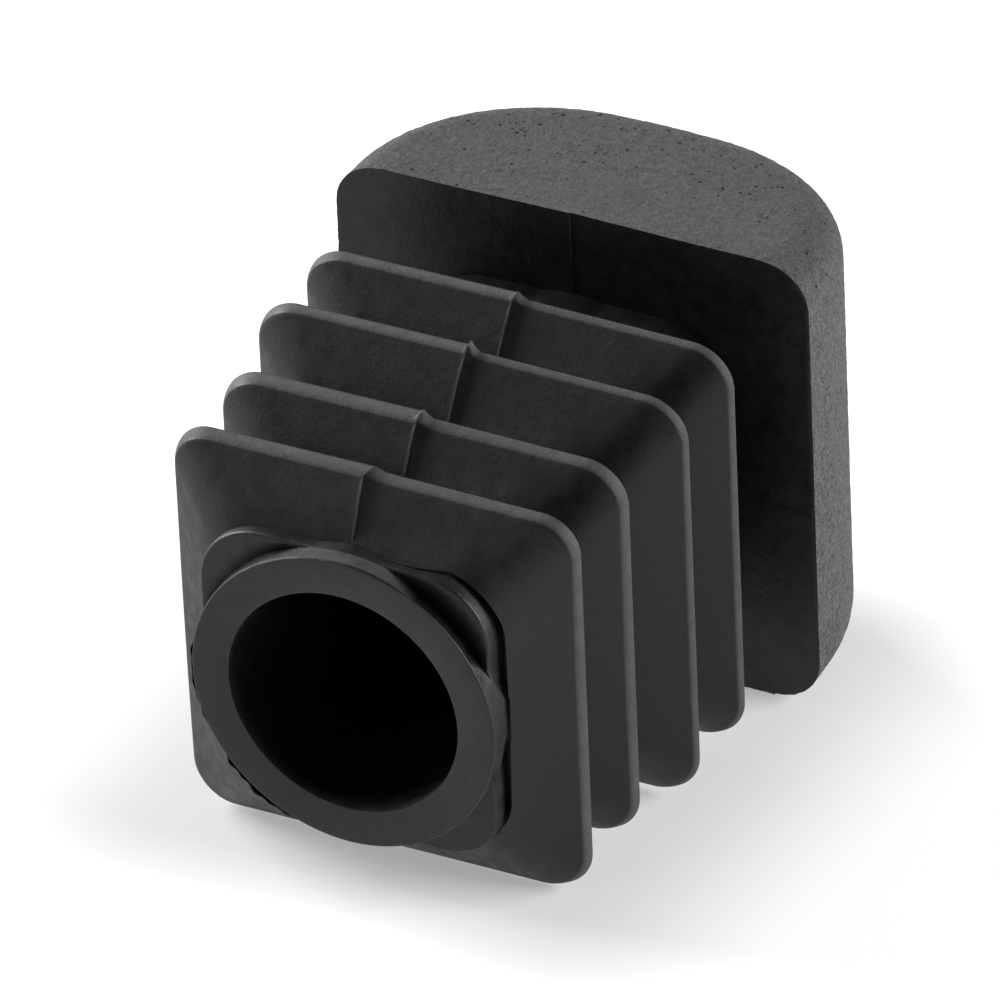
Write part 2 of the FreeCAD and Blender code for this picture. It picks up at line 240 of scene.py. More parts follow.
class Shell:
    """A growing surface in the cap's own axes: rings and grids of points joined by faces."""

    def __init__(self, angles: Array) -> None:
        """Start empty.

        Args:
            angles: the columns at which rings are drawn.
        """
        self.angles = angles
        self.points: list[Array] = []
        self.grain: list[Array] = []
        self.painted_light: list[Array] = []
        self.faces: list[tuple[int, ...]] = []
        self.count = 0

    def add(self, points: Array, finish: Finish = Finish.SATIN,
            painted_light: float | Array = 0.0) -> Array:
        """Add points.

        Args:
            points: an array whose last axis holds x, y and z.
            finish: the finish of the faces between them.
            painted_light: how much painted light they get, a paler tone for highlights, from 0 to
                1.

        Returns:
            Their numbers, in an array of the same shape without its last axis.
        """
        shape = points.shape[:-1]
        flat = points.reshape(-1, 3)
        self.points.append(flat)
        self.grain.append(np.full(len(flat), finish.value))
        self.painted_light.append(np.broadcast_to(painted_light, shape).reshape(-1))
        numbers = np.arange(self.count, self.count + len(flat)).reshape(shape)
        self.count += len(flat)
        return numbers

    def ring(self, radius: Array | float, height: Array | float,
             painted_light: Array | float = 0.0) -> Array:
        """Add a ring of points round the axis.

        Args:
            radius: the distance from the axis, for all columns or for each.
            height: the height, for all columns or for each.
            painted_light: how much painted highlight the ring gets, from 0 to 1.

        Returns:
            The points' numbers.
        """
        height = np.broadcast_to(height, self.angles.shape)
        x, y = radius * np.cos(self.angles), radius * np.sin(self.angles)
        return self.add(np.stack([x, y, height], axis=-1), painted_light=painted_light)

    def band(self, first: Array, second: Array) -> None:
        """Join two rings with four-sided faces, the solid on the right of the way along.

        Args:
            first: the point numbers of a ring.
            second: the point numbers of the next ring, as many.
        """
        corners = np.stack([first, second, np.roll(second, -1), np.roll(first, -1)], axis=-1)
        self.faces.extend(map(tuple, corners.tolist()))

    def chain(self, rings: list[Array]) -> None:
        """Join each ring to the next."""
        for first, second in zip(rings, rings[1:]):
            self.band(first, second)

    def patch(self, numbers: Array, inside: Array) -> None:
        """Cover a grid of points with faces that turn away from a point inside.

        Args:
            numbers: the grid's point numbers, in rows and columns.
            inside: a point in the solid.
        """
        points = np.concatenate(self.points)
        a, b = numbers[:-1, :-1].ravel(), numbers[1:, :-1].ravel()
        c, d = numbers[1:, 1:].ravel(), numbers[:-1, 1:].ravel()
        normals = np.cross(points[c] - points[a], points[d] - points[b])
        middle = (points[a] + points[b] + points[c] + points[d]) / 4
        outward = float(np.sum(normals * (middle - inside))) > 0
        corners = np.stack([a, b, c, d] if outward else [d, c, b, a], axis=-1)
        self.faces.extend(map(tuple, corners.tolist()))

    def zip_rings(self, inner: Array, outer: Array) -> None:
        """Join two rings with unequal numbers of points by triangles, going round by angle.

        Args:
            inner: the point numbers of the inner ring.
            outer: the point numbers of the outer ring.
        """
        points = np.concatenate(self.points)
        whole_turn = 2 * math.pi

        def by_angle(ring: Array) -> tuple[Array, Array]:
            """Sort a ring by its angle round the axis.

            Args:
                ring: the ring's point numbers.

            Returns:
                The sorted numbers and their angles, with the first angle again at the end.
            """
            angle = np.arctan2(points[ring, 1], points[ring, 0]) % whole_turn
            order = np.argsort(angle)
            return ring[order], np.append(angle[order], angle[order][0] + whole_turn)

        inner, inner_angle = by_angle(inner)
        outer, outer_angle = by_angle(outer)
        i = j = 0
        while i < len(inner) or j < len(outer):
            here, there = int(inner[i % len(inner)]), int(outer[j % len(outer)])
            advance_outer = i == len(inner) or (
                j < len(outer) and outer_angle[j + 1] <= inner_angle[i + 1])
            if advance_outer:
                j += 1
                after = outer[j % len(outer)]
            else:
                i += 1
                after = inner[i % len(inner)]
            self.faces.append((here, there, int(after)))

    def cap(self, ring: Array) -> None:
        """Close a ring with one face that looks along +Z."""
        self.faces.append(tuple(ring.tolist()))

    def shape(self, rule: Callable[[Array], Array], numbers: Array | None = None) -> None:
        """Move points by a rule.

        Args:
            rule: takes and returns an array of points.
            numbers: the points to move, or None for all.
        """
        points = np.concatenate(self.points)
        chosen = slice(None) if numbers is None else numbers.ravel()
        points[chosen] = rule(points[chosen])
        self.points = [points]

    def build(self, name: str, cap_frame: CapFrame, anchored: bool = True) -> Object:
        """Make a Blender mesh object of the surface.

        Args:
            name: the object's name.
            cap_frame: where the cap lies.
            anchored: False leaves the object round the origin.

        Returns:
            The new object, which isn't linked to a collection.
        """
        mesh = bpy.data.meshes.new(name)
        placed = cap_frame.place(np.concatenate(self.points), anchored)
        mesh.from_pydata(placed.tolist(), [], self.faces)
        # The grain attribute marks the head's finish; the second attribute carries the painted
        # highlights
        for kind, values in ((GRAIN, self.grain), (PAINTED_LIGHT, self.painted_light)):
            attribute = mesh.attributes.new(kind, "FLOAT", "POINT")
            attribute.data.foreach_set("value", np.concatenate(values).astype(np.float32))
        return bpy.data.objects.new(name, mesh)


# The moulding's parts


@dataclass(frozen=True)
class Parting:
    """How the mould's halves miss each other, and their draft, in millimetres and degrees."""

    plug_draft: float = 0.65
    head_draft: float = 0.8
    head_reach: float = 6.0
    underside_step: float = 0.05

    def crown(self, points: Array, draft: float, reach: float = HEAD_HALF) -> Array:
        """Lean the top and bottom down towards both sides, so that they peak at the parting.

        Args:
            points: the points to move.
            draft: the slope in degrees.
            reach: how far from the parting the slope goes on.

        Returns:
            The moved points.
        """
        moved = points.copy()
        away = np.minimum(np.abs(points[:, 0]), reach) / HEAD_HALF
        moved[:, 1] *= 1.0 - math.tan(math.radians(draft)) * away
        return moved


@dataclass(frozen=True)
class Core:
    """The square core and the round stem that carry the fins, in millimetres and degrees.

    The core's front narrows on the right, by the sine of the direction: from narrow_start up,
    at narrow_rate. Its lower left corner is cut back raggedly.
    """

    half: float = 7.77
    half_right: float = 7.8
    front_half_right: float = 7.22
    narrow_start: float = -0.7
    narrow_rate: float = 6.0
    corner: float = 3.3
    stem_radius: float = 7.93
    cut_place: float = 225.0
    cut_spread: float = 24.0
    cut_depth: float = 0.74
    raggedness: float = 0.03
    ragged_waves: Triples = ((1.0, 0.62, 0.0), (1.0, 1.37, 1.0))

    def outline(self, angles: Array, at_front: bool = False) -> Array:
        """Measure the core, which is uneven on the right and cut back at the lower left.

        Args:
            angles: directions in radians.
            at_front: True for the narrower end in front of the first fin.

        Returns:
            The distance from the axis in each direction.
        """
        right = self.half_right
        if at_front:
            fade = np.clip((np.sin(angles) - self.narrow_start) * self.narrow_rate, 0.0, 1.0)
            right = right + (self.front_half_right - right) * fade
        share = np.clip(np.cos(angles), 0.0, 1.0) ** 2
        reach = square_radius(angles, self.half + (right - self.half) * share, self.corner)
        away = np.degrees(angles % (2 * math.pi)) - self.cut_place
        ragged = self.raggedness * waves(away, self.ragged_waves)
        return reach - (self.cut_depth + ragged) * bell(away, 0.0, self.cut_spread)

    def radius(self, angles: Array) -> Array:
        """Return the distance from the axis to the core and stem together."""
        return np.maximum(self.outline(angles), self.stem_radius)


@dataclass(frozen=True)
class Fin:
    """One sloping fin and the stretch of core in front of it, in millimetres and degrees.

    The left half of the mould sits a little forward of and higher than the right one, so each
    fin has a step at its middle, with a nib of flash on the rim. Where a pair of numbers is
    named a zone, the change it belongs to sets in at the first and is complete at the second.
    """

    name: str
    half: float
    rim_round: float
    reach: float | Array
    back: float = 0.0
    squeeze: float = 0.9956
    corner: float = 2.23
    corner_above: float = 2.12
    land: float = 0.1
    bow: float = 2.14
    bow_turns: Pair = (12.0, 36.0)
    inner_edge: float = 0.25
    slope: float = 38.5
    slope_rings: tuple[float, ...] = (0.04, 0.35, 0.7, 0.96)
    root_half: float = 7.0
    root_corner: float = 3.0
    root_drop: float = 0.0
    back_round: float = 0.06
    back_margin: float = 0.3
    foot_margin: float = 0.05
    # Painted highlights, as a paler tone: the rim's rounded inner edge, its bow in four steps, and
    # a strip at the seam
    edge_highlight: float = 0.35
    rim_highlight: tuple[float, ...] = (0.8, 1.0, 1.0, 0.85)
    seam_highlight: float = 0.25
    seam_strip: float = 0.3
    step_forward: float = 0.22
    step_up: float = 0.3
    step_up_below: float = 0.12
    left_narrowing: float = 0.21
    left_bend: float = 0.0
    seam_lean: float = 0.1
    seam_lean_width: float = 0.8
    ramp_width: float = 0.65
    nib: float = 0.08
    nib_place: float = 0.05
    nib_width: float = 0.09
    nib_thickness: float = 0.5
    rise_zone: Pair = (0.0, 0.7)
    rim_zone: Pair = (9.0, 10.2)
    above_zone: Pair = (0.0, 6.0)
    bend_zone: Pair = (4.0, -10.0)
    front_zone: Pair = (0.0, 0.3)
    lean_zone: Pair = (0.1, 0.7)
    crest_zone: Pair = (7.5, 10.1)

    def step(self, points: Array, core: Core) -> Array:
        """Part the halves: the left one stands forward, higher and a little narrower.

        A ramp on the right of the parting leads down from the left half's rim to the right
        one's, and a nib of flash stands on the rim at the parting.

        Args:
            points: the fin's points.
            core: the core that the fin stands on.

        Returns:
            The moved points.
        """
        moved = points.copy()
        x, y, z = points.T
        left = x < 0
        rise = np.hypot(x, y) - core.radius(np.arctan2(y, x))
        free = ramp(rise, *self.rise_zone)
        rim = ramp(np.maximum(np.abs(x), np.abs(y)), *self.rim_zone)
        above = ramp(y, *self.above_zone)
        down = ramp(x, 0.0, self.ramp_width)
        down = down * down * (3 - 2 * down)
        half_step = self.step_up / 2
        right_shift = above * half_step * np.where(rim > 0, 1 - 2 * down, -1.0)
        left_shift = half_step * above + self.step_up_below * (1 - above)
        moved[:, 1] += free * np.where(left, left_shift, right_shift)
        narrow = self.left_narrowing / self.half * x
        bend = self.left_bend * ramp(y, *self.bend_zone) ** 2 * x / self.half
        moved[:, 0] -= np.where(left, free * (narrow + bend), 0.0)
        front = ramp(z - self.back, *self.front_zone)
        moved[:, 2] += np.where(left, 0.5, -0.5) * self.step_forward * front * free
        inner = ramp(z - self.back, *self.lean_zone) * ramp(y, *self.crest_zone)
        moved[:, 0] -= self.seam_lean * inner * bell(x, 0.0, self.seam_lean_width)
        flash = self.nib * bell(x, self.nib_place, self.nib_width) * rim
        moved[:, 1] += flash * (z < self.back + self.nib_thickness) * (y > np.abs(x))
        return moved

    def build(self, core: Core, parting: Parting, cap_frame: CapFrame) -> Object:
        """Make the fin as an open strip round the axis, which ends at height zero.

        Args:
            core: the core that the fin stands on.
            parting: the draft of the mould's halves.
            cap_frame: where the cap lies.

        Returns:
            The strip's object, round the origin.
        """
        shell = Shell(mould_columns())
        angles = shell.angles
        foot = core.radius(angles)
        corner = np.where(np.sin(angles) > 0, self.corner_above, self.corner)
        rim = square_radius(angles, self.half, corner, self.squeeze)
        root = square_radius(angles, self.root_half, self.root_corner)
        rise = math.tan(math.radians(self.slope))
        full = math.radians(90 - self.slope)
        bow = self.bow * self.rim_round
        first, last = (math.radians(turn) for turn in self.bow_turns)
        bow_inset = bow * (math.cos(first) - math.cos(last))
        bow_height = self.back + self.land + bow * (math.sin(last) - math.sin(first))
        slope_start = bow_inset + self.inner_edge * (math.cos(last) - math.cos(full))
        crest = bow_height + self.inner_edge * (math.sin(full) - math.sin(last))
        tip = crest + (self.half - slope_start - self.root_half) * rise
        tip = tip - self.root_drop * np.clip(np.cos(angles), 0.0, 1.0)

        def on_slope(radius: Array) -> Array:
            """Return the height of the front face at a radius in each column."""
            share = (rim - slope_start - radius) / (rim - slope_start - root)
            return crest + share * (tip - crest)

        front = shell.ring(foot, self.reach)
        # A painted highlight on the strip along the seam, for the light line of the mould's step
        strip = self.seam_highlight * (np.abs(np.degrees(angles) - 90.0) < self.seam_strip)
        rings = [shell.ring(foot, on_slope(foot), strip)]
        for share in self.slope_rings:
            radius = foot + (rim - slope_start - foot) * share
            rings.append(shell.ring(radius, on_slope(radius), strip))
        # The rim's inner edge is painted paler towards the bow, as a highlight
        for turn in np.linspace(full, last, 4):
            inset = bow_inset + self.inner_edge * (math.cos(last) - math.cos(turn))
            height = bow_height + self.inner_edge * (math.sin(turn) - math.sin(last))
            highlight = self.edge_highlight * (full - turn) / (full - last)
            rings.append(shell.ring(rim - inset, height, highlight))
        # The bow of the rim is painted paler, as a highlight
        for turn, highlight in zip(np.linspace(last, first, 5)[1:], self.rim_highlight):
            inset = bow * (math.cos(first) - math.cos(turn))
            height = self.back + self.land + bow * (math.sin(turn) - math.sin(first))
            rings.append(shell.ring(rim - inset, height, highlight))
        for turn in np.radians([0, 45, 90]):
            inset = self.back_round * (1 - math.cos(turn))
            height = self.back + self.back_round * (1 - math.sin(turn))
            rings.append(shell.ring(rim - inset, height))
        rings.append(shell.ring(rim - self.back_margin, self.back))
        rings.append(shell.ring(foot + self.foot_margin, self.back))
        fin_rings = np.array(rings)
        end = shell.ring(foot, 0.0)
        shell.shape(lambda points: self.step(points, core), fin_rings[1:])
        shell.shape(lambda points: parting.crown(points, parting.plug_draft))
        shell.chain([front, *rings, end])
        return shell.build(self.name, cap_frame, anchored=False)


@dataclass(frozen=True)
class Mouth:
    """The open end of the plug: blind bore, ring face, round stem and the core's front.

    Sizes are in millimetres and directions in degrees, counter-clockwise from the right. Each
    pair of numbers says where a change sets in and where it is complete. The moats are the
    depths of the hollow round the stem in the core's four corners, from the upper right on. The
    bore's profile holds steps out, steps down and painted highlight. The ring's outer edge and
    the top of the stem are painted paler too, as highlights. The burr is quiet by a share round a
    direction, over a width.
    """

    ring_height: float = 24.89
    bore_radius: float = 5.98
    bore_floor: float = -7.6
    bore_profile: Triples = (
        (0.0, 1.0, 0.0), (0.0, 0.12, 0.2), (0.03, 0.03, 0.4), (0.12, 0.0, 0.0))
    edge_round: float = 0.12
    # Painted highlights on the ring's rounded outer edge, from the face down
    edge_highlight: tuple[float, ...] = (0.0, 0.3, 0.4, 0.2)
    edge_sharpening: float = 0.75
    core_front: float = 23.96
    core_round: float = 0.16
    core_wall: float = 0.25
    moats: tuple[float, ...] = (0.42, 0.126, 0.9, 0.0)
    moat_room: float = 0.4
    bank_share: float = 0.35
    bank_dip: float = 0.1
    neck_slope: float = 0.4
    neck_drop: float = 0.22
    neck_foot: float = 0.03
    wall_drop: float = 0.05
    groove_floor: float = 22.6
    groove_share: float = 0.25
    groove_zone: Pair = (0.1, 0.4)
    undercut: float = 0.45
    undercut_start: float = 20.0
    undercut_start_low: float = -45.0
    undercut_fade: float = 12.0
    undercut_end: Pair = (74.0, 60.0)
    undercut_narrow: float = 0.5
    undercut_narrow_width: float = 16.0
    # Painted light on the top of the stem's side, between a start and an end direction
    stem_highlight: float = 0.7
    stem_highlight_start: Pair = (60.0, 68.0)
    stem_highlight_end: Pair = (114.0, 104.0)
    burr_width: float = 0.13
    burr_depth: float = 0.45
    burr_full: float = 0.05
    burr_drop: float = 0.02
    burr_start: Pair = (169.0, 174.0)
    burr_end: Pair = (250.0, 243.0)
    burr_weak: float = 0.8
    burr_strong: Pair = (217.0, 221.0)
    burr_quiet: tuple[float, float, float] = (0.7, 211.0, 7.0)
    burr_waves: Triples = ((0.25, 0.41, 0.0), (0.2, 0.97, 2.0))

    def burr(self, angles: Array) -> Array:
        """Measure the ragged flash along the ring's edge at the lower left.

        Args:
            angles: directions in radians.

        Returns:
            The flash's width in each direction.
        """
        turn = np.degrees(angles % (2 * math.pi))
        share, middle, width = self.burr_quiet
        window = ramp(turn, *self.burr_start) * ramp(turn, *self.burr_end)
        quiet = 1 - share * bell(turn, middle, width)
        ragged = 1 + waves(turn, self.burr_waves)
        stronger = self.burr_weak + ramp(turn, *self.burr_strong)
        return self.burr_width * window * quiet * ragged * stronger

    def cut_in(self, angles: Array, start: float) -> Array:
        """Measure how far the stem's right side is cut in, from a start to near the top.

        Args:
            angles: directions in radians.
            start: the direction in which the cut starts, in degrees.

        Returns:
            The depth of the cut in each direction.
        """
        turn = np.degrees((angles + math.pi) % (2 * math.pi)) - 180.0
        window = ramp(turn, start, start + self.undercut_fade) * ramp(turn, *self.undercut_end)
        shallow = 1 - self.undercut_narrow * bell(turn, 0.0, self.undercut_narrow_width)
        return self.undercut * window * shallow

    def wall(self, core: Core, angles: Array) -> Array:
        """Return the distance from the axis to the wall below the core's front edge."""
        stem = core.stem_radius - self.cut_in(angles, self.undercut_start_low)
        return np.maximum(core.outline(angles, at_front=True), stem)

    def foot_height(self, core: Core, angles: Array) -> Array:
        """Find how far down the core's front wall goes, deeper where there is a groove.

        Args:
            core: the core's sizes.
            angles: directions in radians.

        Returns:
            The height of the wall's foot in each direction.
        """
        gap = core.radius(angles) - self.wall(core, angles)
        shallow = self.core_front - self.core_round - self.core_wall
        return shallow + (self.groove_floor - shallow) * ramp(gap, *self.groove_zone)

    def build(self, core: Core, shell: Shell) -> None:
        """Add the bore, ring, stem and core front to a surface.

        Args:
            core: the core's sizes.
            shell: the surface to add to.
        """
        stem, top, angles = core.stem_radius, self.ring_height, shell.angles
        floor = shell.ring(self.bore_radius, self.bore_floor)
        shell.cap(floor)
        rings = [floor]
        # The bore's edge is painted paler, as a highlight
        for inset, drop, highlight in self.bore_profile:
            rings.append(shell.ring(self.bore_radius + inset, top - drop, highlight))
        rings.append(shell.ring(stem - 2 * self.edge_round, top))

        undercut = self.cut_in(angles, self.undercut_start)
        edge = self.edge_round * (1 - self.edge_sharpening * undercut / self.undercut)
        # The edge gets a painted highlight on its lower half, and only faintly above
        below = np.clip(-2.0 * np.sin(angles), 0.1, 1.0)
        for turn, highlight in zip(np.radians([90, 60, 30, 0]), self.edge_highlight):
            inset, drop = edge * (1 - math.cos(turn)), edge * (1 - math.sin(turn))
            rings.append(shell.ring(stem - inset, top - drop, highlight * below))
        # Painted light on the stem's side near the top, carried by the burr and neck rings
        direction = np.degrees(angles % (2 * math.pi))
        with_painted_light = ramp(direction, *self.stem_highlight_start) * ramp(direction, *self.stem_highlight_end)
        with_painted_light = self.stem_highlight * with_painted_light
        burr = self.burr(angles)
        there = ramp(burr, 0.0, self.burr_full)
        deep = self.burr_depth * there
        low = top - edge - self.burr_drop
        # Steps of the burr: how far out, as a share of its width, and how far down
        burr_profile = (
            (0.0, deep), (0.9, deep), (1.0, 0.0), (1.3, 0.02), (1.3, 0.1), (0.0, deep + 0.2))
        for outward, down in burr_profile:
            rings.append(shell.ring(stem + outward * burr, low - down * there, with_painted_light))

        square = core.outline(angles, at_front=True)
        room = square - self.core_round - stem
        dip = np.array(self.moats)[(direction // 90).astype(int)] * ramp(room, 0.0, self.moat_room)
        neck = stem - undercut
        rings.append(shell.ring(neck, low - self.neck_slope * undercut - self.neck_drop, with_painted_light))
        rings.append(shell.ring(neck, self.core_front + self.neck_foot - dip, with_painted_light))
        bank = np.maximum(stem, stem + room * self.bank_share)
        rings.append(shell.ring(bank, self.core_front - dip * self.bank_dip))
        for turn in np.radians([0, 22, 45, 67, 90]):
            inset = self.core_round * (1 - math.sin(turn))
            height = self.core_front - self.core_round * (1 - math.cos(turn))
            rings.append(shell.ring(np.maximum(square - inset, stem), height))
        foot = self.foot_height(core, angles)
        inner, outer = self.wall(core, angles), core.radius(angles)
        rings.append(shell.ring(inner, self.core_front - self.core_round - self.wall_drop))
        rings.append(shell.ring(inner + self.groove_share * (outer - inner), foot))
        rings.append(shell.ring(outer, foot))
        shell.chain(rings)


@dataclass(frozen=True)
class Head:
    """The arched head, in millimetres: a barrel whose two ends lean in, rounded all round."""

    half: float = HEAD_HALF
    height: float = 11.58
    crown_radius: float = 64.7
    shoulder_radius: float = 10.04
    end_lean: float = 5.74
    edge: float = 2.44
    spacing: float = 0.17
    row_stretch: float = 1.1
    seam: float = 0.02
    inset: float = 0.3
    # Painted light: the side walls are painted paler, fading over the rounding towards the ends
    side_highlight: float = 0.8
    side_zone: Pair = (0.7, 1.0)

    def arch(self, inset: float) -> tuple[Array, Array, Array]:
        """Walk along the arch from its right foot to its left one.

        Args:
            inset: how far inside the arch to walk.

        Returns:
            Positions across and down from the underside, and the arch's normals.
        """
        crown_middle = self.height - self.crown_radius
        offset = self.half - self.shoulder_radius
        gap = self.crown_radius - self.shoulder_radius
        spring = crown_middle + math.sqrt(gap ** 2 - offset ** 2)
        turn = math.atan2(offset, spring - crown_middle)
        wall = np.arange(0.0, spring, self.spacing)
        shoulder = np.arange(0.0, math.pi / 2 - turn, self.spacing / self.shoulder_radius)
        flat = np.arange(turn, 0.0, -self.spacing / self.crown_radius)
        flat = flat[flat * self.crown_radius > self.spacing / 2]
        across = [np.full(len(wall), self.half - inset)]
        down = [wall]
        normal = [np.tile([1.0, 0.0], (len(wall), 1))]
        small = self.shoulder_radius - inset
        across.append(offset + small * np.cos(shoulder))
        down.append(spring + small * np.sin(shoulder))
        normal.append(np.stack([np.cos(shoulder), np.sin(shoulder)], axis=-1))
        large = self.crown_radius - inset
        flat = np.append(flat, self.seam / self.crown_radius)
        across.append(large * np.sin(flat))
        down.append(crown_middle + large * np.cos(flat))
        normal.append(np.stack([np.sin(flat), np.cos(flat)], axis=-1))
        x, depth = np.concatenate(across), np.concatenate(down)
        facing = np.concatenate(normal)
        mirrored = facing[::-1] * np.array([-1.0, 1.0])
        facing = np.concatenate([facing, mirrored])
        return np.append(x, -x[::-1]), np.append(depth, depth[::-1]), facing

    def build(self, shell: Shell) -> Array:
        """Add the head's grained surface to a shell.

        Args:
            shell: the surface to add to.

        Returns:
            A ring of points on the underside, a little inside its outline.
        """
        lean = math.radians(self.end_lean)
        x, depth, facing = self.arch(self.edge)
        reach = self.half - self.edge / math.cos(lean) - depth * math.tan(lean)
        barrel = np.stack([facing[:, 0], np.zeros(len(facing)), -facing[:, 1]], axis=-1)
        wall = np.isclose(np.abs(facing[:, 0]), 1.0)
        spring = depth[wall].max()
        inside = np.array([0.0, 0.0, -4.0])
        outline = []

        across = np.linspace(-1.0, 1.0, int(2 * reach.max() / self.spacing) + 1)
        centre = np.stack([x, np.zeros_like(x), -depth], axis=-1) + self.edge * barrel
        grid = np.repeat(centre[:, None, :], len(across), axis=1)
        grid[:, :, 1] = reach[:, None] * across[None, :]
        # Painted light on the barrel's side walls
        with_painted_light = self.side_highlight * ramp(np.abs(facing[:, 0]), *self.side_zone)[:, None]
        numbers = shell.add(grid, Finish.GRAINED, with_painted_light)
        shell.patch(numbers, inside)
        outline += [numbers[0], numbers[-1]]

        steps = int(self.edge * (math.pi / 2 - lean) / self.spacing) + 1
        for side in (1.0, -1.0):
            end = np.array([0.0, side * math.cos(lean), -math.sin(lean)])
            apart = np.arccos(np.clip(barrel @ end, -1.0, 1.0))[:, None, None]
            share = np.linspace(0.0, 1.0, steps + 1)[None, :, None]
            normal = (np.sin((1 - share) * apart) * barrel[:, None, :]
                      + np.sin(share * apart) * end) / np.sin(apart)
            centre = np.stack([x, side * reach, -depth], axis=-1)
            grid = centre[:, None, :] + self.edge * normal
            lowest = self.edge * normal[:, :, 2]
            settle = np.where(wall, 1 - depth / spring, 0.0)[:, None]
            grid[:, :, 2] -= lowest * settle
            grid[:, :, 1] += side * lowest * settle * math.tan(lean)
            numbers = shell.add(grid, Finish.GRAINED, with_painted_light * (1 - share[:, :, 0]))
            shell.patch(numbers, inside)
            outline += [numbers[0], numbers[-1]]

            rim = grid[:, -1, :]
            base = rim.copy()
            walk = np.concatenate([[0.0], np.cumsum(np.linalg.norm(np.diff(rim, axis=0), axis=1))])
            base[:, 0] = (1 - 2 * walk / walk[-1]) * (self.half - self.edge)
            base[:, 0] = np.where(np.abs(base[:, 0]) < self.spacing / 2,
                                  np.sign(rim[:, 0]) * self.seam, base[:, 0])
            base[:, 1] = side * self.half
            base[:, 2] = 0.0
            rows = int((self.height - self.edge) / self.spacing / self.row_stretch)
            share = np.linspace(0.0, 1.0, rows + 1)[None, :, None]
            grid = rim[:, None, :] * (1 - share) + base[:, None, :] * share
            numbers = shell.add(grid, Finish.GRAINED)
            shell.patch(numbers, inside)
            outline.append(numbers[:, -1])

        numbers = np.concatenate(outline)
        points = np.concatenate(shell.points)[numbers]
        _, once = np.unique(np.round(points / 0.001), axis=0, return_index=True)
        numbers, points = numbers[once], points[once]
        order = np.argsort(np.arctan2(points[:, 1], points[:, 0]))
        numbers, points = numbers[order], points[order]
        inner = points * (1 - self.inset / np.hypot(points[:, 0], points[:, 1]))[:, None]
        ring = shell.add(inner)
        shell.band(ring, numbers)
        return ring


# Node trees


def add_sockets(group: NodeTree, inputs: dict[str, str], outputs: dict[str, str]) -> None:
    """Give a node group its sockets.

    Args:
        group: the node group.
        inputs: the kinds of the inputs, such as Float, by name.
        outputs: the kinds of the outputs, by name.
    """
    for side, kinds in (("INPUT", inputs), ("OUTPUT", outputs)):
        for name, kind in kinds.items():
            group.interface.new_socket(name, in_out=side, socket_type="NodeSocket" + kind)


def fill(made: Node, inputs: dict) -> None:
    """Give a node its inputs.

    Args:
        made: the node.
        inputs: by name or number, a value, an output to link, or a node to link the first
            output of.
    """
    for key, value in inputs.items():
        source = value.outputs[0] if isinstance(value, Node) else value
        if isinstance(source, NodeSocket):
            made.id_data.links.new(source, made.inputs[key])
        else:
            made.inputs[key].default_value = source


def node(tree: NodeTree, kind: str, inputs: dict | None = None, **settings: object) -> Node:
    """Add a node to a tree.

    Args:
        tree: the tree to add to.
        kind: the node's type.
        inputs: its inputs, as for fill.
        **settings: its properties by name.

    Returns:
        The node.
    """
    made = tree.nodes.new(kind)
    for name, value in settings.items():
        setattr(made, name, value)
    fill(made, inputs or {})
    return made


def maths(tree: NodeTree, operation: str, *values: object) -> Node:
    """Add a maths node to a tree, with its values or what they come from."""
    return node(tree, "ShaderNodeMath", dict(enumerate(values)), operation=operation)


def smooth_range(tree: NodeTree, value: object, start: tuple, end: tuple) -> Node:
    """Add a node that turns one range of numbers smoothly into another.

    Args:
        tree: the tree to add to.
        value: what the numbers come from.
        start: the number that the range starts with, and what it becomes.
        end: the number that the range ends with, and what it becomes.

    Returns:
        The node.
    """
    return node(tree, "ShaderNodeMapRange", {
        "Value": value, "From Min": start[0], "To Min": start[1],
        "From Max": end[0], "To Max": end[1]}, interpolation_type="SMOOTHSTEP")


def new_material(name: str) -> tuple[Material, Node]:
    """Make a material with nodes.

    Args:
        name: the material's name.

    Returns:
        The material and its shader.
    """
    material = bpy.data.materials.new(name)
    material.use_nodes = True
    return material, material.node_tree.nodes["Principled BSDF"]


@dataclass(frozen=True)
class Grain:
    """The relief of the head's skin, in millimetres, and the seed of its noise."""

    depth: float = 0.05
    size: float = 0.4
    pit_depth: float = 0.1
    pit_spacing: float = 1.2
    seed: float = 3.0

    def inputs(self) -> dict[str, float]:
        """Size the relief for the node tree.

        Returns:
            The tree's inputs, in metres, by name.
        """
        return {
            "Grain Depth": self.depth * MM,
            "Grain Size": self.size * MM,
            "Pit Depth": self.pit_depth * MM,
            "Pit Spacing": self.pit_spacing * MM,
            "Seed": self.seed,
        }


